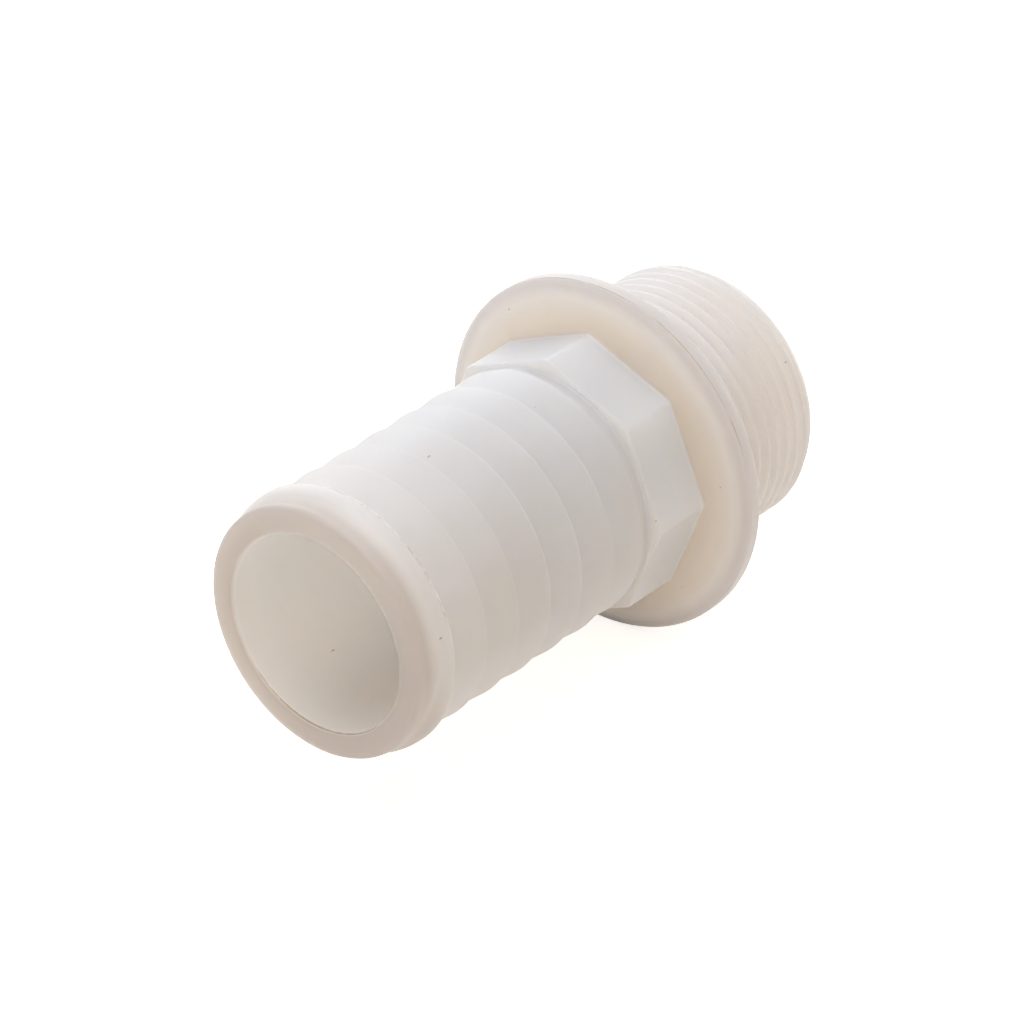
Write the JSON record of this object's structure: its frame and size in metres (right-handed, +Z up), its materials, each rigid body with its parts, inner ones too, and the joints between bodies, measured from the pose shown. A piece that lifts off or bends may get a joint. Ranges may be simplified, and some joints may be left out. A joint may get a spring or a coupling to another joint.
{
  "type": "thru hull fitting",
  "caption": "Moulded nylon thru hull fitting: barbed hose tail, wrench octagon, round flange and threaded spigot round one straight water passage",
  "frame": {"origin": "Centre of the flange's flat sealing face, on the axis of the water passage", "axes": "+X along the passage, from the hose tail to the threaded end. +Z up, through a corner of the wrench octagon, as the fitting lies in the picture"},
  "size_m": [0.0914, 0.057, 0.057],
  "materials": {
    "natural_nylon": "satin, slightly translucent"
  },
  "bodies": {
    "root": {"fitting_body": "natural_nylon"}
  },
  "joints": []
}
